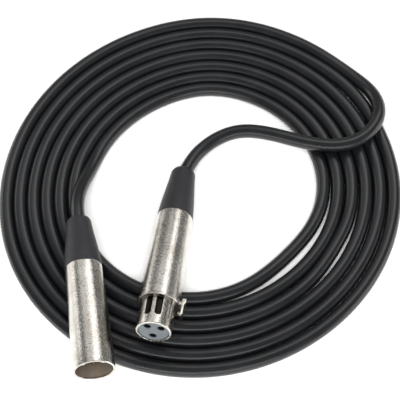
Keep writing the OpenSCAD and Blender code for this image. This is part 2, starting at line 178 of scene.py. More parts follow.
def grid_faces(rows: int, cols: int, wrap_rows: bool) -> np.ndarray:
    """Quads of a grid of points, numbered row by row, whose last column joins the first.

    Args:
        rows: Number of rows.
        cols: Number of columns.
        wrap_rows: Whether the last row joins the first too.

    Returns:
        Vertex numbers, an array of shape (faces, 4).
    """
    i = np.arange(rows if wrap_rows else rows - 1)[:, None]
    j = np.arange(cols)[None, :]
    i2, j2 = (i + 1) % rows, (j + 1) % cols
    return np.stack([i * cols + j, i * cols + j2, i2 * cols + j2, i2 * cols + j], -1).reshape(-1, 4)


def make_object(name: str, points: np.ndarray, faces: list, sharp_deg: float = 35) -> Object:
    """Make a mesh object whose faces point outwards.

    Args:
        name: The object's name.
        points: Vertices in metres, of shape (n, 3).
        faces: Vertex numbers of each face.
        sharp_deg: Edges that turn more than this stay sharp.

    Returns:
        The object, at the origin.
    """
    mesh = bpy.data.meshes.new(name)
    mesh.from_pydata(np.asarray(points, float).tolist(), [], [list(map(int, f)) for f in faces])
    obj = bpy.data.objects.new(name, mesh)
    bpy.context.scene.collection.objects.link(obj)
    tidy_mesh(obj, sharp_deg)
    return obj


def tidy_mesh(obj: Object, sharp_deg: float) -> None:
    """Merge doubles, turn the faces outwards and shade the mesh smooth up to an angle."""
    bm = bmesh.new()
    bm.from_mesh(obj.data)
    bmesh.ops.remove_doubles(bm, verts=bm.verts, dist=MERGE_M)
    bmesh.ops.dissolve_degenerate(bm, edges=bm.edges, dist=MERGE_M)
    bmesh.ops.recalc_face_normals(bm, faces=bm.faces)
    bm.to_mesh(obj.data)
    bm.free()
    obj.data.shade_smooth()
    obj.data.set_sharp_from_angle(angle=math.radians(sharp_deg))


def combine(obj: Object, others: list[Object], how: str, sharp_deg: float) -> None:
    """Apply exact booleans between one mesh and others, and remove the others.

    Args:
        obj: The mesh that is kept.
        others: Closed meshes.
        how: UNION or DIFFERENCE.
        sharp_deg: Edges that turn more than this stay sharp.
    """
    for other in others:
        modifier = obj.modifiers.new("join", "BOOLEAN")
        modifier.operation = how
        modifier.solver = "EXACT"
        modifier.object = other
    evaluated = obj.evaluated_get(bpy.context.evaluated_depsgraph_get())
    joined = bpy.data.meshes.new_from_object(evaluated)
    obj.modifiers.clear()
    obj.data = joined
    for other in others:
        bpy.data.objects.remove(other)
    tidy_mesh(obj, sharp_deg)


def revolved(profile: np.ndarray, angles: np.ndarray) -> np.ndarray:
    """Turn a profile about the z axis.

    Point (r, z) of the profile at angle a, counted from +y towards +x, stands at
    (r sin a, r cos a, z).

    Args:
        profile: (r, z) of each row, or an array (rows, cols, 2) where it differs round the axis.
        angles: The columns' angles in radians.

    Returns:
        Points of shape (rows, cols, 3).
    """
    if profile.ndim == 2:
        profile = profile[:, None, :] + np.zeros((1, len(angles), 1))
    r, z = profile[..., 0], profile[..., 1]
    return np.stack([r * np.sin(angles), r * np.cos(angles), z], -1)


def even_angles(count: int, extra: np.ndarray | None = None) -> np.ndarray:
    """Angles round a full turn, with extra ones where detail needs them.

    Args:
        count: Number of even steps.
        extra: Further angles in radians.

    Returns:
        Sorted angles from 0 up to a full turn, none of them twice.
    """
    angles = np.arange(count) * 2 * math.pi / count
    if extra is not None:
        angles = np.concatenate([angles, extra % (2 * math.pi)])
    return np.unique(np.round(angles, 5))


def unrolled(rows: np.ndarray, angles: np.ndarray) -> tuple[np.ndarray, np.ndarray]:
    """Repeat a profile at every angle, so that it can be pressed in, with the angles from -pi to pi."""
    grid = np.broadcast_to(rows[:, None, :], (len(rows), len(angles), 2)).copy()
    return grid, (angles + math.pi) % (2 * math.pi) - math.pi


# --- Finishes ---


def new_material(name: str) -> tuple[Material, NodeTree, Node]:
    """Make an empty node material.

    Returns:
        The material, its node tree and its principled shader, which is linked to the output.
    """
    mat = bpy.data.materials.new(name)
    mat.use_nodes = True
    tree = mat.node_tree
    tree.nodes.clear()
    shader = add_node(tree, "ShaderNodeBsdfPrincipled")
    add_node(tree, "ShaderNodeOutputMaterial", {"Surface": shader.outputs["BSDF"]})
    return mat, tree, shader


def painted_recess_shade(tree: NodeTree, colour: NodeSocket, recess_shade: str) -> NodeSocket:
    """Darken a colour towards a painted shade colour where the mesh's attribute "recess" says it lies deep.

    This is painted shade: grooves and holes are drawn darker, as the light that reaches into them is weaker.
    """
    depth = add_node(tree, "ShaderNodeAttribute", attribute_name="recess").outputs["Fac"]
    mixed = add_node(tree, "ShaderNodeMix", {0: depth, 6: colour, 7: linear(recess_shade)}, data_type="RGBA")
    return mixed.outputs[2]


def set_recess(obj: Object, share: np.ndarray) -> None:
    """Store how deep each vertex lies, from 0 at the surface to 1 at the floor of a recess."""
    layer = obj.data.attributes.new("recess", "FLOAT", "POINT")
    layer.data.foreach_set("value", np.asarray(share, np.float32))


class Grain(Enum):
    """How a moulded or extruded surface was textured."""

    SPARKED = "sparked"
    POLISHED = "polished"
    EXTRUDED = "extruded"


@dataclass(frozen=True)
class NickelPlate:
    """Nickel plate on a zinc die casting: warm silver, satin, with faint casting grain under it.

    The grain breaks a reflection's edge into fine specks, its deepest spots are dull pits, and slow
    waves bend the reflection a little. Real casting grain is about 0.15 mm across; it is drawn at
    0.55 mm, as coarse as it needs to be to show.
    """

    name: str
    colour: str = "#dad7d1"
    shade: str = "#c4beb5"
    roughness: float = 0.22
    grain_mm: float = 0.55
    grain_depth_mm: float = 0.065
    wave_mm: float = 9.0
    wave_depth_mm: float = 0.004
    speckle: float = 0.3
    pits: str = "#6f6961"
    # Painted shade colour for the grooves and the slot, mixed in where the attribute recess is set.
    recess_shade: str = "#1d1a18"

    def material(self) -> Material:
        """Build the material."""
        mat, tree, shader = new_material(self.name)
        place = add_node(tree, "ShaderNodeTexCoord").outputs["Object"]
        grain = add_node(
            tree, "ShaderNodeTexNoise", {"Vector": place},
            Scale=1 / (self.grain_mm * MM), Detail=3.0, Roughness=0.6,
        ).outputs["Fac"]
        patches = add_node(
            tree, "ShaderNodeTexNoise", {"Vector": place}, Scale=1 / (self.wave_mm * MM), Detail=2.0
        ).outputs["Fac"]
        tint = add_node(
            tree, "ShaderNodeMapRange", {"Value": patches}, From_Min=0.35, From_Max=0.7
        ).outputs["Result"]
        pitted = add_node(
            tree, "ShaderNodeMapRange", {"Value": grain}, From_Min=0.46, From_Max=0.36, To_Max=0.75
        ).outputs["Result"]
        specks = add_node(
            tree, "ShaderNodeMapRange", {"Value": grain}, From_Min=0.40, From_Max=0.66,
            To_Min=self.roughness * (1 - self.speckle), To_Max=self.roughness * (1 + self.speckle),
        ).outputs["Result"]
        plate = {0: tint, 6: linear(self.colour), 7: linear(self.shade)}
        clean = add_node(tree, "ShaderNodeMix", plate, data_type="RGBA").outputs[2]
        with_pits = {0: pitted, 6: clean, 7: linear(self.pits)}
        dull = add_node(tree, "ShaderNodeMix", with_pits, data_type="RGBA").outputs[2]
        waves = add_node(
            tree, "ShaderNodeBump", {"Height": patches}, Strength=1.0, Distance=self.wave_depth_mm * MM
        ).outputs["Normal"]
        relief = add_node(
            tree, "ShaderNodeBump", {"Height": grain, "Normal": waves},
            Strength=1.0, Distance=self.grain_depth_mm * MM,
        ).outputs["Normal"]
        colour = painted_recess_shade(tree, dull, self.recess_shade)
        fill(tree, shader, {"Metallic": 1.0, "Base Color": colour, "Roughness": specks, "Normal": relief})
        return mat


@dataclass(frozen=True)
class Polymer:
    """A moulded or extruded plastic or rubber: one colour through, and a surface from its tool.

    A sparked tool leaves a fine matt grain, a polished one next to none, and an extruded jacket has
    faint lines along its length and a soft sheen. The grain is really about 0.1 mm across; it is
    drawn at 0.25 mm to 0.5 mm so that it shows.
    """

    name: str
    colour: str
    worn: str
    roughness: float
    grain: Grain = Grain.SPARKED
    grain_mm: float = 0.25
    grain_depth_mm: float = 0.012
    ior: float = 1.52
    scuff_mm: float = 7.0
    # Painted shade colour for holes, mixed in where the attribute recess is set.
    recess_shade: str = "#0c0d10"

    def material(self) -> Material:
        """Build the material."""
        mat, tree, shader = new_material(self.name)
        coords = add_node(tree, "ShaderNodeTexCoord")
        place = fine_place = coords.outputs["Object"]
        if self.grain is Grain.EXTRUDED:
            fine_place = add_node(
                tree, "ShaderNodeMapping", {"Vector": coords.outputs["UV"]}, Scale=(0.06, 1.0, 1.0)
            ).outputs["Vector"]
        fine = add_node(
            tree, "ShaderNodeTexNoise", {"Vector": fine_place},
            Scale=1 / (self.grain_mm * MM), Detail=4.0, Roughness=0.65,
        ).outputs["Fac"]
        scuffs = add_node(
            tree, "ShaderNodeTexNoise", {"Vector": place},
            Scale=1 / (self.scuff_mm * MM), Detail=5.0, Roughness=0.6,
        ).outputs["Fac"]
        share = add_node(
            tree, "ShaderNodeMapRange", {"Value": scuffs}, From_Min=0.42, From_Max=0.75
        ).outputs["Result"]
        rough = add_node(
            tree, "ShaderNodeMapRange", {"Value": scuffs}, From_Min=0.3, From_Max=0.7,
            To_Min=self.roughness * 0.88, To_Max=self.roughness * 1.14,
        ).outputs["Result"]
        surface = {0: share, 6: linear(self.colour), 7: linear(self.worn)}
        clean = add_node(tree, "ShaderNodeMix", surface, data_type="RGBA").outputs[2]
        relief = add_node(
            tree, "ShaderNodeBump", {"Height": fine}, Strength=1.0, Distance=self.grain_depth_mm * MM
        ).outputs["Normal"]
        colour = painted_recess_shade(tree, clean, self.recess_shade)
        fill(tree, shader, {"IOR": self.ior, "Base Color": colour, "Roughness": rough, "Normal": relief})
        return mat


@dataclass(frozen=True)
class TurnedMetal:
    """A small turned or drawn metal part: fine tool lines that soften its shine, and a little tarnish.

    Tool lines are really about 0.06 mm apart; they are drawn at 0.12 mm so that they show.
    """

    name: str
    colour: str
    tarnish: str
    roughness: float
    line_mm: float = 0.12
    line_depth_mm: float = 0.004
    tarnish_mm: float = 2.2

    def material(self) -> Material:
        """Build the material."""
        mat, tree, shader = new_material(self.name)
        place = add_node(tree, "ShaderNodeTexCoord").outputs["Object"]
        lines = add_node(
            tree, "ShaderNodeTexNoise", {"Vector": place}, Scale=1 / (self.line_mm * MM), Detail=2.0
        ).outputs["Fac"]
        patches = add_node(
            tree, "ShaderNodeTexNoise", {"Vector": place}, Scale=1 / (self.tarnish_mm * MM), Detail=4.0
        ).outputs["Fac"]
        dull = add_node(
            tree, "ShaderNodeMapRange", {"Value": patches}, From_Min=0.4, From_Max=0.7
        ).outputs["Result"]
        metal = {0: dull, 6: linear(self.colour), 7: linear(self.tarnish)}
        colour = add_node(tree, "ShaderNodeMix", metal, data_type="RGBA").outputs[2]
        relief = add_node(
            tree, "ShaderNodeBump", {"Height": lines}, Strength=1.0, Distance=self.line_depth_mm * MM
        ).outputs["Normal"]
        shader_inputs = {"Metallic": 1.0, "Roughness": self.roughness, "Base Color": colour, "Normal": relief}
        fill(tree, shader, shader_inputs)
        return mat


# --- Where the connectors stand ---


@dataclass(frozen=True)
class Axes:
    """A connector's own frame: z along its barrel from the rear edge, y upwards, x to its right."""

    origin: np.ndarray
    turn: np.ndarray

    @classmethod
    def from_mount(cls, name: str, along: float) -> "Axes":
        """Work the frame out from a mount on the connector's axis.

        Args:
            name: The mount's name in the record.
            along: The mount's distance from the barrel's rear edge, in millimetres.

        Returns:
            The connector's frame.
        """
        mount = next(m for m in frame["record"]["mounts"] if m["name"] == name)
        z = unit(np.array(mount["axis"], float))
        x = unit(np.cross([0, 0, 1], z))
        y = np.cross(z, x)
        origin = np.array(mount["pos_m"], float) / MM - along * z
        return cls(origin, np.stack([x, y, z], 1))

    def place(self, points: np.ndarray) -> np.ndarray:
        """Take points from the connector's frame in millimetres to the row frame in metres."""
        return (np.asarray(points, float) @ self.turn.T + self.origin) * MM

    def on_axis(self, z: float) -> np.ndarray:
        """The point on the connector's axis at z, in millimetres in the row frame."""
        return self.origin + self.turn[:, 2] * z

    def local(self, obj: Object) -> np.ndarray:
        """A mesh's vertices in the connector's frame, in millimetres."""
        co = np.empty(len(obj.data.vertices) * 3)
        obj.data.vertices.foreach_get("co", co)
        return (co.reshape(-1, 3) / MM - self.origin) @ self.turn


def grid_piece(
    name: str, axes: Axes, points: np.ndarray, ring: bool, sharp_deg: float = 35
) -> Object:
    """Make a piece on a connector's axis from a grid of points that closes round the axis.

    Args:
        name: The piece's name.
        axes: The connector's frame.
        points: Points in millimetres, of shape (rows, cols, 3).
        ring: Whether the last row joins the first; otherwise the end rows stand on the axis.
        sharp_deg: Edges that turn more than this stay sharp.

    Returns:
        The piece.
    """
    faces = grid_faces(*points.shape[:2], ring)
    return make_object(name, axes.place(points.reshape(-1, 3)), faces, sharp_deg)


def prism(
    name: str, axes: Axes, outline: np.ndarray, half_width: float, round_mm: float
) -> Object:
    """Make a plate whose outline lies in the x-z plane, with softened edges.

    The outline is carried along y. Over the last round_mm on each side it is drawn in along a
    quarter circle: at angle t the edge stands round_mm (1 - sin t) short of the half width and
    round_mm (1 - cos t) inside the outline.

    Args:
        name: The object's name.
        axes: The connector's frame.
        outline: (x, z) points in order.
        half_width: Half of the plate's width along y.
        round_mm: Size of the edge rounding.

    Returns:
        The plate.
    """
    ahead, behind = np.roll(outline, -1, 0), np.roll(outline, 1, 0)
    side = unit(ahead - behind)
    inward = np.stack([-side[:, 1], side[:, 0]], -1)
    area = np.sum(outline[:, 0] * ahead[:, 1] - ahead[:, 0] * outline[:, 1])
    inward *= 1 if area > 0 else -1
    t = np.linspace(0, math.pi / 2, 4)
    edge = half_width - round_mm * (1 - np.sin(t))
    shrink = round_mm * (1 - np.cos(t))
    stations = np.concatenate([-edge[::-1], edge])
    insets = np.concatenate([shrink[::-1], shrink])
    rings = outline[None] + insets[:, None, None] * inward[None]
    points = np.stack([rings[..., 0], np.broadcast_to(stations[:, None], rings.shape[:2]), rings[..., 1]], -1)
    count = len(outline)
    faces = [tuple(f) for f in grid_faces(len(stations), count, False)]
    last = (len(stations) - 1) * count
    faces += [tuple(range(count)), tuple(range(last + count - 1, last - 1, -1))]
    return make_object(name, axes.place(points.reshape(-1, 3)), faces, 40)


def groove_depth(
    around: np.ndarray, along: np.ndarray, width: float, start: float, end: float, soft: float
) -> np.ndarray:
    """Share of a groove's depth at points on an unrolled surface.

    The groove is the set of points nearer than half its width to a line that runs along the axis,
    so its ends are round. The share falls from 1 inside to 0 outside over the soft edge.

    Args:
        around: Distance from the groove's middle line, round the surface.
        along: Distance along the axis.
        width: The groove's width.
        start: Where the groove starts along the axis.
        end: Where its round end stops.
        soft: Width of the edge.

    Returns:
        The share, from 0 to 1.
    """
    beyond = np.maximum(along - (end - width / 2), 0) + np.maximum(start + width / 2 - along, 0)
    distance = np.hypot(around, beyond) - width / 2
    return 1 - smoothstep(distance, -soft, soft)


# --- The cable ---


@dataclass
class CoiledCable:
    """The whole cable: out of one boot, over the coil, round it from outside in, and to the other.

    Distances are in millimetres, and a route's points stand relative to the coil's middle. At A
    degrees counter-clockwise from +X, counted on over the turns, the centreline's radius is
    base(A) - gap(A) * (A - start) / 360, where base is a circle that drifts sideways and is a
    little oval, and gap is the distance between turns. A wave is (height, turned back by this many
    degrees); a bulge or lean is (centre in degrees, width in degrees, height).
    """

    socket: Axes
    plug: Axes
    body: str = "cable"
    diameter: float = 6.6
    middle: tuple[float, float, float] = (-0.67, 1.92, 0.0)
    radius: float = 96.7
    drift: tuple[float, float] = (3.0, -53.0)
    oval: tuple[float, float] = (1.9, 60.0)
    bulges: tuple = ((85.0, 22.0, 1.2), (-8.0, 40.0, 1.3))
    leans: tuple = (
        (360 + 36.0, 12.0, 1.0), (5 * 360 + 317.0, 25.0, -2.5), (3 * 360 + 330.0, 12.0, -1.0),
    )
    pitch: float = 6.7
    pitch_drift: tuple[float, float] = (0.22, -50.0)
    pitch_oval: tuple[float, float] = (0.18, -82.0)
    mean_radius_share: float = 0.84
    unevenness: float = 0.06
    first_deg: float = 47.5
    last_deg: float = 6 * 360 + 160.0
    start_deg: float = 27.0
    socket_boot_mm: float = 28.6
    plug_boot_mm: float = 25.8
    hidden_mm: float = 14.0
    socket_guides_mm: tuple = (-20.0, -26.0)
    plug_guide_mm: float = -20.0
    ring_gap_mm: float = 2.5
    smoothing_passes: int = 40
    sides: int = 24
    socket_route: tuple = (
        (-5.6, 8.7, 5.4), (-2.4, 14.5, 5.3), (0.8, 18.5, 5.4), (6.6, 23.3, 6.2), (14.6, 26.9, 7.5),
        (22.5, 27.7, 8.5), (30.5, 26.3, 9.3), (38.0, 24.1, 9.8), (45.0, 21.8, 9.9), (52.0, 19.9, 9.9),
        (60.1, 18.5, 9.9), (67.8, 18.6, 9.9), (74.7, 20.6, 10.0), (80.4, 24.5, 10.0), (84.7, 30.0, 10.0),
        (87.3, 37.2, 9.3), (87.2, 45.7, 7.2), (84.0, 53.9, 5.0), (78.2, 61.0, 3.7), (71.1, 67.7, 3.2),
    )
    plug_route: tuple = (
        (-50.9, 10.8, 4.6), (-52.8, 4.6, 6.4), (-54.8, -1.9, 8.9), (-56.3, -8.9, 11.3), (-56.7, -15.2, 13.1),
        (-56.4, -20.5, 14.0),
    )

    def turns(self) -> np.ndarray:
        """Centreline of the wound part, one point every ring gap, in millimetres.

        All turns bulge a little at the far side and at the right. At the lower right the innermost
        turn leans inwards, and the third and fourth turns part by less, as turns that were never
        tied do. The second turn leans out under the end of the lead.
        """
        around = math.radians(self.last_deg - self.first_deg) * self.radius * self.mean_radius_share
        a = np.linspace(self.first_deg, self.last_deg, int(around / self.ring_gap_mm))
        rad = np.radians(a)
        base = self.radius + wave(a, 1, *self.drift) + wave(a, 2, *self.oval)
        for centre, width, height in self.bulges:
            base += height * np.exp(-((((a - centre + 180) % 360 - 180) / width) ** 2))
        gap = self.pitch + wave(a, 1, *self.pitch_drift) + wave(a, 2, *self.pitch_oval)
        r = base - gap * (a - self.start_deg) / 360
        for centre, width, height in self.leans:
            r += height * np.exp(-(((a - centre) / width) ** 2))
        rise = self.unevenness * (np.sin(rad * 3.3 + 1.0) + 1)
        return np.stack([r * np.cos(rad), r * np.sin(rad), self.diameter / 2 + rise], -1)

    def centreline(self) -> np.ndarray:
        """Ring centres from inside one boot to inside the other, in millimetres in the row frame.

        A smooth curve runs through the control points, and is cut into equal steps by its length.
        """
        middle = np.array(self.middle)
        socket, plug = self.socket, self.plug
        start = [socket.on_axis(z) for z in (self.hidden_mm - self.socket_boot_mm, *self.socket_guides_mm)]
        plug_end = (-self.plug_boot_mm, self.plug_guide_mm, self.hidden_mm - self.plug_boot_mm)
        end = [plug.on_axis(z) for z in plug_end]
        points = np.vstack([
            start, np.array(self.socket_route) + middle, self.turns()[::3] + middle,
            np.array(self.plug_route) + middle, end,
        ])
        points[:, 2] = np.maximum(points[:, 2], self.diameter / 2)
        curve = through(points, 12)
        smooth = curve.copy()
        for _ in range(self.smoothing_passes):
            smooth[1:-1] += 0.25 * (smooth[:-2] - 2 * smooth[1:-1] + smooth[2:])
        return even_steps(smooth, self.ring_gap_mm)

    def build(self, jacket: Material, with_pieces: list) -> Object:
        """Args:
            jacket: The jacket's material.
            with_pieces: The pieces on the far end; not used.

        Returns:
            The cable.
        """
        line = self.centreline()
        cable = swept_tube("cable", line, self.diameter / 2, self.sides)
        cable.data.materials.append(jacket)
        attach(cable, self.body)
        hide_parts("cable_coil", "socket_lead", "plug_lead")
        tuple(self.socket.on_axis(-self.socket_boot_mm) * MM)
        return cable


def wave(a: np.ndarray, waves: int, height: float, turned_deg: float) -> np.ndarray:
    """A cosine with this many waves to a turn, at angles a in degrees: height cos(waves (a - turned))."""
    return height * np.cos(waves * np.radians(a - turned_deg))


def through(points: np.ndarray, steps: int) -> np.ndarray:
    """A smooth curve through points: on each side a cubic whose end slopes are half the way
    between its neighbours, with the ends doubled.

    Args:
        points: Control points.
        steps: Points on each side.

    Returns:
        The curve's points.
    """
    p = np.vstack([2 * points[0] - points[1], points, 2 * points[-1] - points[-2]])
    p0, p1, p2, p3 = (p[i : len(p) - 3 + i, None, :] for i in range(4))
    t = (np.arange(steps) / steps)[None, :, None]
    curve = 0.5 * (
        2 * p1 + (p2 - p0) * t + (2 * p0 - 5 * p1 + 4 * p2 - p3) * t**2 + (3 * p1 - p0 - 3 * p2 + p3) * t**3
    )
    return np.vstack([curve.reshape(-1, 3), points[-1:]])


def distances(line: np.ndarray) -> np.ndarray:
    """How far along a line each of its points lies."""
    return np.concatenate([[0], np.cumsum(np.linalg.norm(np.diff(line, axis=0), axis=1))])


def even_steps(line: np.ndarray, gap: float) -> np.ndarray:
    """Cut a line into equal steps of about gap, by its length."""
    along = distances(line)
    at = np.linspace(0, along[-1], round(along[-1] / gap) + 1)
    return np.stack([np.interp(at, along, line[:, i]) for i in range(3)], -1)


def swept_tube(name: str, line: np.ndarray, radius: float, sides: int) -> Object:
    """Carry a circle along a line, and close both ends.

    Point j of ring i stands at line_i + radius * (side_i cos t_j + up_i sin t_j), where side is
    level and up is square to it and to the line. The UV map holds metres along and metres round.

    Args:
        name: The object's name.
        line: Ring centres in millimetres.
        radius: The circle's radius.
        sides: Points on each circle.

    Returns:
        The tube.
    """
    along = unit(np.gradient(line, axis=0))
    side = unit(np.cross(along, [0, 0, 1]))
    up = np.cross(side, along)
    t = (np.arange(sides) / sides - 0.25) * 2 * math.pi
    rings = line[:, None] + radius * (side[:, None] * np.cos(t)[:, None] + up[:, None] * np.sin(t)[:, None])
    faces = grid_faces(len(line), sides, False)[:, ::-1]
    last = (len(line) - 1) * sides
    caps = [tuple(range(sides - 1, -1, -1)), tuple(range(last, last + sides))]
    mesh = bpy.data.meshes.new(name)
    mesh.from_pydata((rings.reshape(-1, 3) * MM).tolist(), [], faces.tolist() + caps)
    uv = mesh.uv_layers.new(name="UVMap")
    i, j = faces // sides, faces % sides
    j = np.where((j == 0) & (j.max(1, keepdims=True) == sides - 1), sides, j)
    wall = np.stack([distances(line)[i], j / sides * 2 * math.pi * radius], -1).reshape(-1, 2) * MM
    flat = np.zeros((len(mesh.loops), 2))
    flat[: len(wall)] = wall
    uv.data.foreach_set("uv", flat.ravel())
    obj = bpy.data.objects.new(name, mesh)
    bpy.context.scene.collection.objects.link(obj)
    mesh.shade_smooth()
    mesh.set_sharp_from_angle(angle=math.radians(60))
    return obj


# --- The socket connector ---


@dataclass
class SocketConnector:
    """The socket connector: plated barrel with its nose, the insulator's face and the boot.

    Its frame has z = 0 at the barrel's rear edge. Sizes are in millimetres.
    """

    axes: Axes
    plate: Material
    insulator: Material
    rubber: Material
    body: str = "cable"
    barrel: float = 49.4
    length: float = 63.5
    rear_r: float = 8.4
    front_r: float = 9.45
    lip_r: float = 9.8
    lip: float = 1.2
    nose_r: float = 8.1
    bore_r: float = 6.95
    cavity_r: float = 7.6
    insert_from: float = 44.5
    face_z: float = 63.0
    roll_deg: float = -5.0
    keyways_deg: tuple = (-26.0, 8.0, 42.0)
    keyway_w: float = 3.0
    keyway: float = 9.6
    keyway_depth: float = 0.75
    pocket_x: float = 9.15
    pocket_w: float = 5.2
    pocket_from: float = 44.4
    slot_w: float = 3.2
    slot_z: tuple = (45.4, 48.6)
    slot_r: float = 7.02
    face_drop: float = 0.25
    seat_r: float = 1.85
    seat_z: float = 61.0
    entry_r: float = 1.42
    countersink_r: float = 1.95
    # From this angle on, a groove gets only this share of the painted shade.
    faint_shade_from_deg: float = 25.0
    faint_shade_share: float = 0.3
    boot: float = 28.6

    def profile(self) -> tuple[np.ndarray, int]:
        """The barrel's section, outside from rear to front and then inside from front to rear.

        Returns:
            (r, z) points of a closed loop, and how many of them lie outside.
        """
        b, lip = self.barrel, self.lip
        outer = fillet([
            (self.rear_r - 0.15, 0, 0), (self.rear_r, 0.3, 0.3), (self.front_r, b - lip - 4, 6),
            (self.front_r, b - lip - 0.1, 0.25), (self.lip_r, b - lip + 0.1, 0.35),
            (self.lip_r, b, 0.4), (self.nose_r + 0.02, b, 0.18), (self.nose_r, self.length, 0.55),
            (self.bore_r + 0.15, self.length, 0),
        ], closed=False, steps=6)
        step = np.where((outer[:-1, 1] > b - 6) & (outer[:-1, 1] < self.length - 1), 0.3, 2.0)
        outer = refine(outer, step)
        inner = np.array([
            (self.bore_r, self.length - 0.15), (self.bore_r, self.insert_from),
            (self.cavity_r, self.insert_from), (self.cavity_r, 0.0),
        ])
        return np.vstack([outer, inner]), len(outer)

    def shell(self) -> Object:
        """The barrel: a turned profile whose surface is pressed in at the grooves and the pocket.

        A groove takes its depth from the distance to its middle line. In the latch's pocket the
        radius is cut to the plane x = pocket_x, and in its slot to slot_r. The grooves and the slot
        get painted shade that deepens towards their floors; the right-hand groove gets less of it.
        """
        fine = np.radians(np.arange(-50, 66, 1.0))
        side = np.radians(np.arange(68, 113, 0.9))
        angles = even_angles(150, np.concatenate([fine, side]))
        rows, outside = self.profile()
        grid, turn = unrolled(rows, angles)
        r, z = grid[:outside, :, 0], grid[:outside, :, 1]
        for angle in self.keyways_deg:
            around = (turn - math.radians(angle)) * self.nose_r
            share = groove_depth(around, z, self.keyway_w, self.barrel - 3, self.barrel + self.keyway, 0.14)
            r -= np.where((z > self.barrel - 0.02) & (r < self.nose_r + 0.05), self.keyway_depth * share, 0)
        x, y = r * np.sin(angles), r * np.cos(angles)
        in_pocket = (x > 0) & (np.abs(y) < self.pocket_w / 2) & (z > self.pocket_from)
        in_pocket &= r > self.nose_r + 0.3
        flat = self.pocket_x / np.maximum(np.sin(angles), 0.2)
        r[:] = np.where(in_pocket, np.minimum(r, flat), r)
        low, high = self.slot_z
        in_slot = (x > 0) & (np.abs(y) < self.slot_w / 2) & (z > low) & (z < high)
        r[:] = np.where(in_slot, self.slot_r, r)
        shell = grid_piece("socket_barrel", self.axes, revolved(grid, angles), True, 38)
        # Painted shade: the grooves and the latch's slot darken towards their floors, and the right-hand
        # groove gets less of it.
        x, y, z = self.axes.local(shell).T
        radius = np.hypot(x, y)
        on_nose = (z > self.barrel) & (z < self.barrel + self.keyway + 0.2)
        in_slot = (x > 0) & (np.abs(y) < self.slot_w / 2 + 0.1) & (z > low - 0.1) & (z < high)
        share = np.where(on_nose | in_slot, smoothstep(self.nose_r - 0.08 - radius, 0.05, 0.5), 0)
        share *= radius > self.bore_r + 0.1
        faintly_shaded = on_nose & (np.arctan2(x, y) > math.radians(self.faint_shade_from_deg))
        set_recess(shell, share * np.where(faintly_shaded, self.faint_shade_share, 1.0))
        return dress(shell, self.body, self.plate, "nickel_shell", "socket_shell")

    def face(self) -> Object:
        """The insulator: a moulded plug with a low ring round its face and three countersunk holes."""
        rim, top = self.bore_r - 0.08, self.face_z - self.face_drop
        rows = fillet([
            (0, self.insert_from, 0), (rim, self.insert_from, 0.2), (rim, self.face_z, 0.35),
            (rim - 0.8, self.face_z, 0.12), (rim - 0.95, top, 0.12), (0, top, 0),
        ], closed=False, steps=5)
        face = grid_piece("socket_face", self.axes, revolved(rows, even_angles(96)), ring=False)
        bore = fillet([
            (0, self.insert_from - 1, 0), (self.seat_r, self.insert_from - 1, 0),
            (self.seat_r, self.seat_z, 0), (self.entry_r, self.seat_z, 0),
            (self.entry_r, top - 0.35, 0.1), (self.countersink_r, top + 0.2, 0),
            (self.countersink_r, top + 1, 0), (0, top + 1, 0),
        ], closed=False, steps=4)
        places = contact_places(self.roll_deg)
        hole = revolved(bore, even_angles(40))
        holes = [grid_piece("hole", self.axes, hole + np.array([x, y, 0]), ring=False) for x, y in places]
        combine(face, holes, "DIFFERENCE", 30)
        # Painted shade on the walls of the holes below their countersinks.
        at = self.axes.local(face)
        near = np.min([np.hypot(at[:, 0] - x, at[:, 1] - y) for x, y in places], 0)
        in_hole = near < self.countersink_r - 0.05
        set_recess(face, np.where(in_hole & (at[:, 2] < top - 0.1), 1.0, 0.0))
        return dress(face, self.body, self.insulator, "socket_insulator", "socket_insert")

    def build(self) -> None:
        """Build the barrel, the insulator's face and the boot."""
        self.shell()
        self.face()
        boot = moulded_boot("socket_boot_sleeve", self.axes, self.boot, self.rear_r)
        dress(boot, self.body, self.rubber, "boot_rubber", "socket_boot")


def contact_places(roll_deg: float) -> list[tuple[float, float]]:
    """Where the three contacts stand, on an 8 mm circle, two above and one below."""
    circle_r = 4.0
    angles = [math.radians(a + roll_deg) for a in (140, 40, 270)]
    return [(circle_r * math.cos(a), circle_r * math.sin(a)) for a in angles]


def dress(
    obj: Object, body: str, material: Material, slot: str, *nodes: str
) -> Object:
    """Give a new piece its material and its body, and hide the CAD nodes that it replaces.

    Args:
        obj: The piece.
        body: The CAD body it rides on.
        material: Its material.
        slot: The record's material slot; not used.
        *nodes: The CAD nodes that it replaces.

    Returns:
        The piece.
    """
    obj.data.materials.clear()
    obj.data.materials.append(material)
    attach(obj, body)
    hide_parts(*nodes)
    log.info("%s: %d faces", obj.name, len(obj.data.polygons))
    return obj


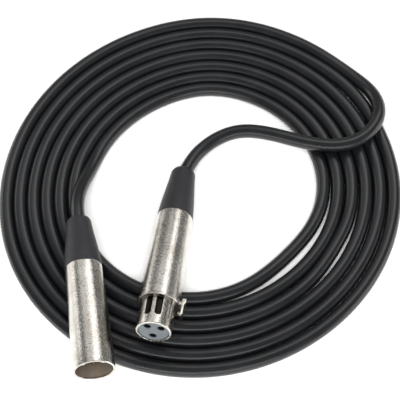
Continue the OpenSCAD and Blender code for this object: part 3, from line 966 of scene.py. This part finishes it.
def moulded_boot(name: str, axes: Axes, length: float, front_r: float) -> Object:
    """A rubber boot: a tapered sleeve with a round shoulder, a little flat from above.

    Its radius grows in a straight taper from the shoulder to the metal, with a shallow step in
    front and a fine ring pressed in near the shoulder. Its height is its width times 1 - 0.05 s,
    where s is 0 at the metal and 1 at the cable's end.

    Args:
        name: The piece's name.
        axes: The connector's frame.
        length: How far it stands out behind the metal.
        front_r: The barrel's radius at its rear edge.

    Returns:
        The boot.
    """
    r, cable_r, spigot_r, overlap = front_r - 0.05, 3.25, 7.4, 6.0
    outer = fillet([
        (cable_r, -length + 0.5, 0), (3.9, -length, 0.3), (5.0, -length + 0.25, 0.8),
        (5.75, -length + 1.7, 1.4), (6.15, -length + 6.0, 6), (r - 0.45, -7.0, 5), (r - 0.08, -2.2, 1.2),
        (r - 0.02, -0.55, 0.1), (r - 0.25, -0.3, 0.1), (r - 0.25, 0.15, 0),
        (spigot_r, 0.2, 0), (spigot_r, overlap, 0),
    ], closed=False, steps=7)
    outer = refine(outer, np.full(len(outer) - 1, 0.8))
    ring = np.vstack([outer, [(cable_r, overlap)]])
    z = ring[:, 1]
    ring[:, 0] -= 0.12 * np.exp(-(((z + length - 8.6) / 0.35) ** 2)) * (ring[:, 0] > 4)
    points = revolved(ring, even_angles(88))
    share = smoothstep(-points[..., 2], 0, length)
    grow = np.clip((np.hypot(points[..., 0], points[..., 1]) - 3.3) / 1.5, 0, 1)
    points[..., 1] *= 1 - 0.05 * share * grow
    return grid_piece(name, axes, points, True, 40)


# --- The latch ---


@dataclass
class RockingLatch:
    """The latch beside the collar: a neck on its pin, a bar with a thumb rest, and a hook.

    Corners are (x, z, radius) in the socket connector's frame.
    """

    axes: Axes
    plate: Material
    body: str = "latch"
    pivot_x: float = 8.1
    width: float = 2.4
    bar_w: float = 4.2

    def build(self) -> Object:
        """Join the bar, the neck and the hook into one casting."""
        bar = fillet([
            (10.1, 45.2, 0.3), (10.3, 45.0, 0.1), (11.9, 45.0, 0.35), (12.2, 45.4, 0.35),
            (12.2, 46.9, 0.7), (11.45, 48.4, 1.2), (11.4, 52.9, 0.8), (10.9, 54.0, 0.4),
            (10.1, 54.0, 0.3),
        ], closed=True)
        neck = fillet([
            (self.pivot_x - 0.98, 46.4, 0.5), (self.pivot_x - 0.6, 46.05, 0.4), (10.6, 46.05, 0),
            (10.6, 47.95, 0), (self.pivot_x - 0.6, 47.95, 0.4), (self.pivot_x - 0.98, 47.6, 0.5),
        ], closed=True)
        hook = fillet(
            [(10.7, 52.2, 0), (10.7, 53.9, 0), (9.8, 53.95, 0.2), (9.0, 53.0, 0.2), (9.0, 52.2, 0.15)],
            closed=True,
        )
        latch = prism("latch", self.axes, bar, self.bar_w / 2, 0.35)
        others = [
            prism("neck", self.axes, neck, self.width / 2, 0.15),
            prism("hook", self.axes, hook, self.width / 2 + 0.5, 0.25),
        ]
        combine(latch, others, "UNION", 35)
        return dress(latch, self.body, self.plate, "nickel_lever", "latch_lever")


# --- The plug connector ---


@dataclass
class PlugConnector:
    """The plug connector: plated barrel with a thin-rimmed mouth, and the boot."""

    axes: Axes
    plate: Material
    # Darker matte material for the inside of the mouth: painted shade.
    shaded_mouth_inside: Material
    rubber: Material
    body: str = "cable"
    length: float = 51.5
    rear_r: float = 8.5
    front_r: float = 9.3
    mouth_r: float = 8.3
    mouth: float = 15.5
    insert_r: float = 7.95
    insert_from: float = 26.0
    cavity_r: float = 7.6
    ribs_deg: tuple = (-32.0, 32.0)
    rib_w: float = 1.6
    rib_h: float = 0.75
    boot: float = 25.8

    def shell(self) -> Object:
        """The barrel: a turned profile, with two key ribs raised from the inside of its mouth.

        A rib takes its height from the distance to its middle line, so its ends are round.
        """
        floor = self.length - self.mouth
        outer = fillet([
            (self.rear_r - 0.15, 0, 0), (self.rear_r, 0.3, 0.3), (self.front_r, self.length - 6, 6),
            (self.front_r, self.length, 0.35), (self.mouth_r, self.length, 0.3), (self.mouth_r, floor, 0),
            (self.insert_r, floor, 0), (self.insert_r, self.insert_from, 0),
            (self.cavity_r, self.insert_from, 0), (self.cavity_r, 0, 0),
        ], closed=False, steps=6)
        inside = (outer[:-1, 1] > floor - 0.1) & (outer[:-1, 0] < self.mouth_r + 0.1)
        rows = refine(outer, np.where(inside, 0.35, 2.0))
        rib = np.radians(np.arange(-6, 6.1, 0.6))
        angles = even_angles(140, np.concatenate([rib + math.radians(a) for a in self.ribs_deg]))
        grid, turn = unrolled(rows, angles)
        r, z = grid[..., 0], grid[..., 1]
        wall = (r < self.mouth_r + 0.02) & (z > floor + 0.5)
        for angle in self.ribs_deg:
            around = (turn - math.radians(angle)) * self.mouth_r
            share = groove_depth(around, z, self.rib_w, floor + 4, self.length + 0.5, 0.12)
            r -= np.where(wall, self.rib_h * share, 0)
        shell = grid_piece("plug_barrel", self.axes, revolved(grid, angles), True, 38)
        dress(shell, self.body, self.plate, "nickel_shell", "plug_shell")
        # Faces inside the mouth, apart from the ribs, take the darker matte material as painted shade.
        shell.data.materials.append(self.shaded_mouth_inside)
        x, y, z = self.axes.local(shell).T
        radius = np.hypot(x, y)
        on_rib = (radius < self.mouth_r - 0.2) & (z > floor + 3)
        inner = (radius < self.mouth_r + 0.05) & (z < self.length - 0.5) & ~on_rib
        for face in shell.data.polygons:
            face.material_index = int(inner[list(face.vertices)].all())
        return shell

    def build(self) -> list[Object]:
        """Build the barrel and the boot, and return them."""
        boot = moulded_boot("plug_boot_sleeve", self.axes, self.boot, self.rear_r)
        return [self.shell(), dress(boot, self.body, self.rubber, "boot_rubber", "plug_boot")]


# --- Carried-over pieces ---


def dress_nodes(finishes: dict[str, Material]) -> None:
    """Give each node that still shows its procedural material.

    Args:
        finishes: The start of a node's name to its material; the longest start that fits wins.
    """
    for name, node in frame["nodes"].items():
        fits = [key for key in finishes if name.startswith(key)]
        if fits:
            node.data.materials.clear()
            node.data.materials.append(finishes[max(fits, key=len)])


# --- Studio ---


@dataclass
class Studio:
    """A white floor, soft boxes and the camera. Sizes are in metres."""

    target: tuple[float, float, float] = (-0.00027, -0.00408, 0.0)
    distance: float = 0.700
    elevation_deg: float = 60.0
    lens_mm: float = 132.3

    def camera(self) -> None:
        """Put the camera over the near side of the coil, looking down at it."""
        data = bpy.data.cameras.new("camera")
        data.lens, data.sensor_width = self.lens_mm, 36.0
        data.clip_start, data.clip_end = 0.05, 20.0
        cam = bpy.data.objects.new("camera", data)
        tilt = math.radians(self.elevation_deg)
        x, y, z = self.target
        cam.location = (x, y - self.distance * math.cos(tilt), z + self.distance * math.sin(tilt))
        cam.rotation_euler = (math.pi / 2 - tilt, 0, 0)
        bpy.context.scene.collection.objects.link(cam)
        bpy.context.scene.camera = cam

    def floor(self) -> None:
        """A wide white floor that carries only the contact shadows."""
        mat, tree, shader = new_material("white_paper")
        fill(tree, shader, {"Base Color": linear("#f8f8f7"), "Roughness": 0.9, "Specular IOR Level": 0.1})
        half = 3.0
        corners = np.array([(-half, -half, 0), (half, -half, 0), (half, half, 0), (-half, half, 0)])
        floor = make_object("floor", corners, [(0, 1, 2, 3)])
        floor.data.materials.append(mat)

    def soft_box(
        self, name: str, direction: tuple, reach: float, size: tuple, radiance: float, mirrored: bool = True
    ) -> None:
        """A rectangular soft box that faces the target.

        Its power is its radiance times its area times pi.

        Args:
            name: Its name.
            direction: From the target to the box.
            reach: Its distance.
            size: Its width and height.
            radiance: How bright its face is.
            mirrored: Whether it shows in reflections.
        """
        light = bpy.data.lights.new(name, "AREA")
        light.shape = "RECTANGLE"
        light.size, light.size_y = size
        light.energy = radiance * math.pi * size[0] * size[1]
        box = bpy.data.objects.new(name, light)
        away = unit(np.array(direction, float))
        box.location = np.array(self.target) + away * reach
        box.rotation_euler = mathutils.Vector(away).to_track_quat("Z", "Y").to_euler()
        box.visible_glossy = mirrored
        bpy.context.scene.collection.objects.link(box)

    def build(self) -> None:
        """Build the floor, the lights and the sky."""
        self.floor()
        self.soft_box("camera_fill", (0.0, -0.55, 0.83), 1.5, (1.3, 1.3), 6.8, mirrored=False)
        self.soft_box("overhead_back_box", (-0.22, 0.50, 0.84), 1.3, (0.95, 0.8), 0.66)
        self.soft_box("right_back_box", (0.31, 0.50, 0.81), 1.3, (0.50, 1.0), 2.0)
        self.soft_box("left_back_box", (-0.845, 0.50, 0.18), 1.3, (0.6, 0.7), 1.6)
        self.soft_box("front_strip", (0.0, -1.0, 0.36), 1.3, (1.8, 0.32), 4.0)
        self.soft_box("right_strip", (1.0, -0.12, 0.16), 1.3, (0.9, 0.26), 4.0)
        world = bpy.data.worlds.new("studio")
        world.use_nodes = True
        back = world.node_tree.nodes["Background"]
        back.inputs["Color"].default_value = linear("#f2f2f0")
        back.inputs["Strength"].default_value = 0.28
        bpy.context.scene.world = world
        bpy.context.scene.view_settings.view_transform = "Standard"


# --- Finishes of this cable ---

SHELL_PLATE = NickelPlate("satin_nickel_plate", speckle=0.35)
LEVER_PLATE = NickelPlate("bright_nickel_plate", "#dedad2", "#beb6a8", roughness=0.16, grain_depth_mm=0.006)
JACKET = Polymer(
    "extruded_pvc_jacket", "#0f1012", "#16171a", 0.30, Grain.EXTRUDED, grain_mm=0.5, grain_depth_mm=0.014,
    ior=1.53, scuff_mm=12.0,
)
BOOT_RUBBER = Polymer("moulded_boot_rubber", "#1f1f22", "#28282b", 0.55, grain_mm=0.35, grain_depth_mm=0.02)
SOCKET_INSULATOR = Polymer("moulded_grey_nylon", "#5b6165", "#6a7175", 0.42, grain_depth_mm=0.006)
PLUG_INSULATOR = Polymer("moulded_brown_nylon", "#574f47", "#675e53", 0.45, grain_depth_mm=0.006)
# Painted shade: the inside of the plug's mouth is drawn as a darker brown matte copy of the plating.
SHADED_MOUTH_INSIDE = Polymer("mouth_inside_painted_shade", "#62584e", "#706458", 0.5, grain_mm=0.5, grain_depth_mm=0.02)
CLAMP_NYLON = Polymer("glass_filled_nylon", "#26272a", "#33353a", 0.55)
CORE_RED = Polymer("red_core_pvc", "#a32424", "#8a1f1f", 0.4, Grain.POLISHED, grain_depth_mm=0.003)
CORE_WHITE = Polymer("white_core_pvc", "#e2dfd6", "#cfcbc0", 0.4, Grain.POLISHED, grain_depth_mm=0.003)
# Silvered brass with tarnish, drawn darker still as painted shade, as the contacts sit deep in their holes
# and in the mouth.
SHADED_CONTACT = TurnedMetal("silvered_brass_contact_painted_shade", "#857a66", "#6b5f49", 0.45)
STEEL = TurnedMetal("turned_steel", "#a9abae", "#8c8d90", 0.32)
COPPER = TurnedMetal("twisted_copper", "#c27a4a", "#8f5735", 0.35)

# Distances of the two mounts from their barrels' rear edges, in millimetres
SOCKET_MOUNT_Z = 59.5
PLUG_MOUNT_Z = 51.5


def main() -> None:
    """Build the camera and the cable first, then the connectors, the finishes and the studio."""
    studio = Studio()
    studio.camera()
    socket_axes = Axes.from_mount("socket_nose", SOCKET_MOUNT_Z)
    plug_axes = Axes.from_mount("plug_mouth", PLUG_MOUNT_Z)
    shell_plate = SHELL_PLATE.material()
    rubber = BOOT_RUBBER.material()
    SocketConnector(socket_axes, shell_plate, SOCKET_INSULATOR.material(), rubber).build()
    RockingLatch(socket_axes, LEVER_PLATE.material()).build()
    on_plug = PlugConnector(plug_axes, shell_plate, SHADED_MOUTH_INSIDE.material(), rubber).build()
    contact, steel, clamp = SHADED_CONTACT.material(), STEEL.material(), CLAMP_NYLON.material()
    finishes = {
        "socket_contact": contact, "plug_pin": contact, "latch_pin": steel, "latch_spring": steel,
        "plug_insert": PLUG_INSULATOR.material(),
    }
    copper, red, white = COPPER.material(), CORE_RED.material(), CORE_WHITE.material()
    for side in ("socket", "plug"):
        finishes |= {f"{side}_clamp": clamp, f"{side}_clamp_screws": steel, f"{side}_insert_screw": steel}
        finishes |= {f"{side}_wire_1": copper, f"{side}_wire_2": red, f"{side}_wire_3": white}
    dress_nodes(finishes)
    replaced = ("plug_shell", "plug_boot", "plug_lead")
    carried = sorted(n for n in frame["nodes"] if n.startswith("plug_") and n not in replaced)
    on_plug += [frame["nodes"][n] for n in carried]
    CoiledCable(socket_axes, plug_axes).build(JACKET.material(), on_plug)
    studio.build()


if __name__ == "__main__":
    main()
